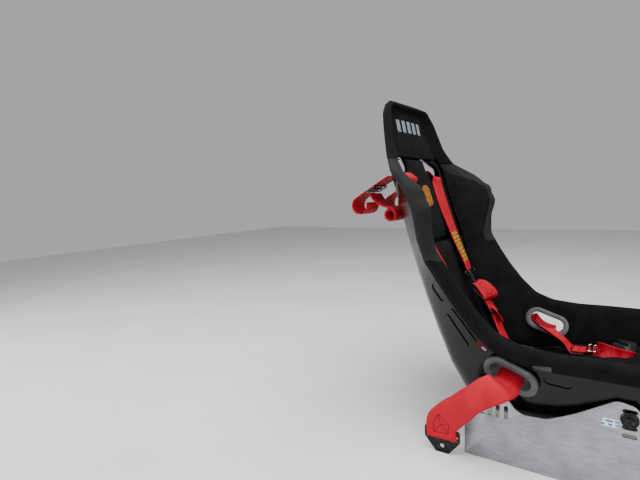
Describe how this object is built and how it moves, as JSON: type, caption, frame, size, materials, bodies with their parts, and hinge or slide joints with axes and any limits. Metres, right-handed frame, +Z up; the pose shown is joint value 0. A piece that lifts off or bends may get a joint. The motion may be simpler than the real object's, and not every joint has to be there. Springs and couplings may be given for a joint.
{
  "type": "racing bucket seat with harness",
  "caption": "Fixed-back racing bucket seat: moulded shell, padded wings and cushion, webbing harness through its slots, on bolted side mounts.",
  "frame": {"origin": "on the floor, midway between the four floor bolt holes of the side mounts", "axes": "+Z up, the sitter faces -Y, +X to the sitter's left"},
  "size_m": [0.6424, 0.8298, 0.8983],
  "materials": {
    "shell_gloss": "black gel-coated glass-fibre laminate, moulded, glossy",
    "velour": "black flame-retardant velour over foam",
    "grip_cloth": "charcoal ribbed grip cloth over foam",
    "bezel_plastic": "grey moulded plastic, satin",
    "mount_plate": "clear-anodised aluminium plate, lightly brushed",
    "bolt_steel": "black-oxide steel",
    "harness_steel": "black-coated pressed steel",
    "webbing": "red woven polyester webbing",
    "buckle_plastic": "black moulded buckle body",
    "tongue_steel": "chromed pressed steel"
  },
  "bodies": {
    "root": {"backrest_pad": "velour", "bar_slide_left": "harness_steel", "bar_slide_right": "harness_steel", "buckle_strap_left": "webbing", "buckle_strap_right": "webbing", "chest_strap_left": "webbing", "chest_strap_right": "webbing", "crotch_anchor": "bolt_steel", "crotch_bezel": "bezel_plastic", "crotch_strap": "webbing", "crotch_tongue": "tongue_steel", "crown_trim": "velour", "head_bolster_left": "velour", "head_bolster_right": "velour", "head_pad": "velour", "lap_adjuster_left": "harness_steel", "lap_adjuster_right": "harness_steel", "lap_anchor_left": "bolt_steel", "lap_anchor_right": "bolt_steel", "lap_bezel_left": "bezel_plastic", "lap_bezel_right": "bezel_plastic", "lap_strap_left": "webbing", "lap_strap_right": "webbing", "lap_tongue_right": "tongue_steel", "lumbar_pad": "velour", "mount_bolts_left": "bolt_steel", "mount_bolts_right": "bolt_steel", "rotary_buckle": "buckle_plastic", "seat_cushion": "velour", "shell": "shell_gloss", "shoulder_adjuster_left": "harness_steel", "shoulder_adjuster_right": "harness_steel", "shoulder_strap_left": "webbing", "shoulder_strap_right": "webbing", "shoulder_tongue_left": "tongue_steel", "shoulder_tongue_right": "tongue_steel", "side_mount_left": "mount_plate", "side_mount_right": "mount_plate", "thigh_bolster_left": "velour", "thigh_bolster_right": "velour", "waist_bolster_left": "velour", "waist_bolster_right": "velour", "wing_bolster_left": "grip_cloth", "wing_bolster_right": "grip_cloth"}
  },
  "joints": []
}
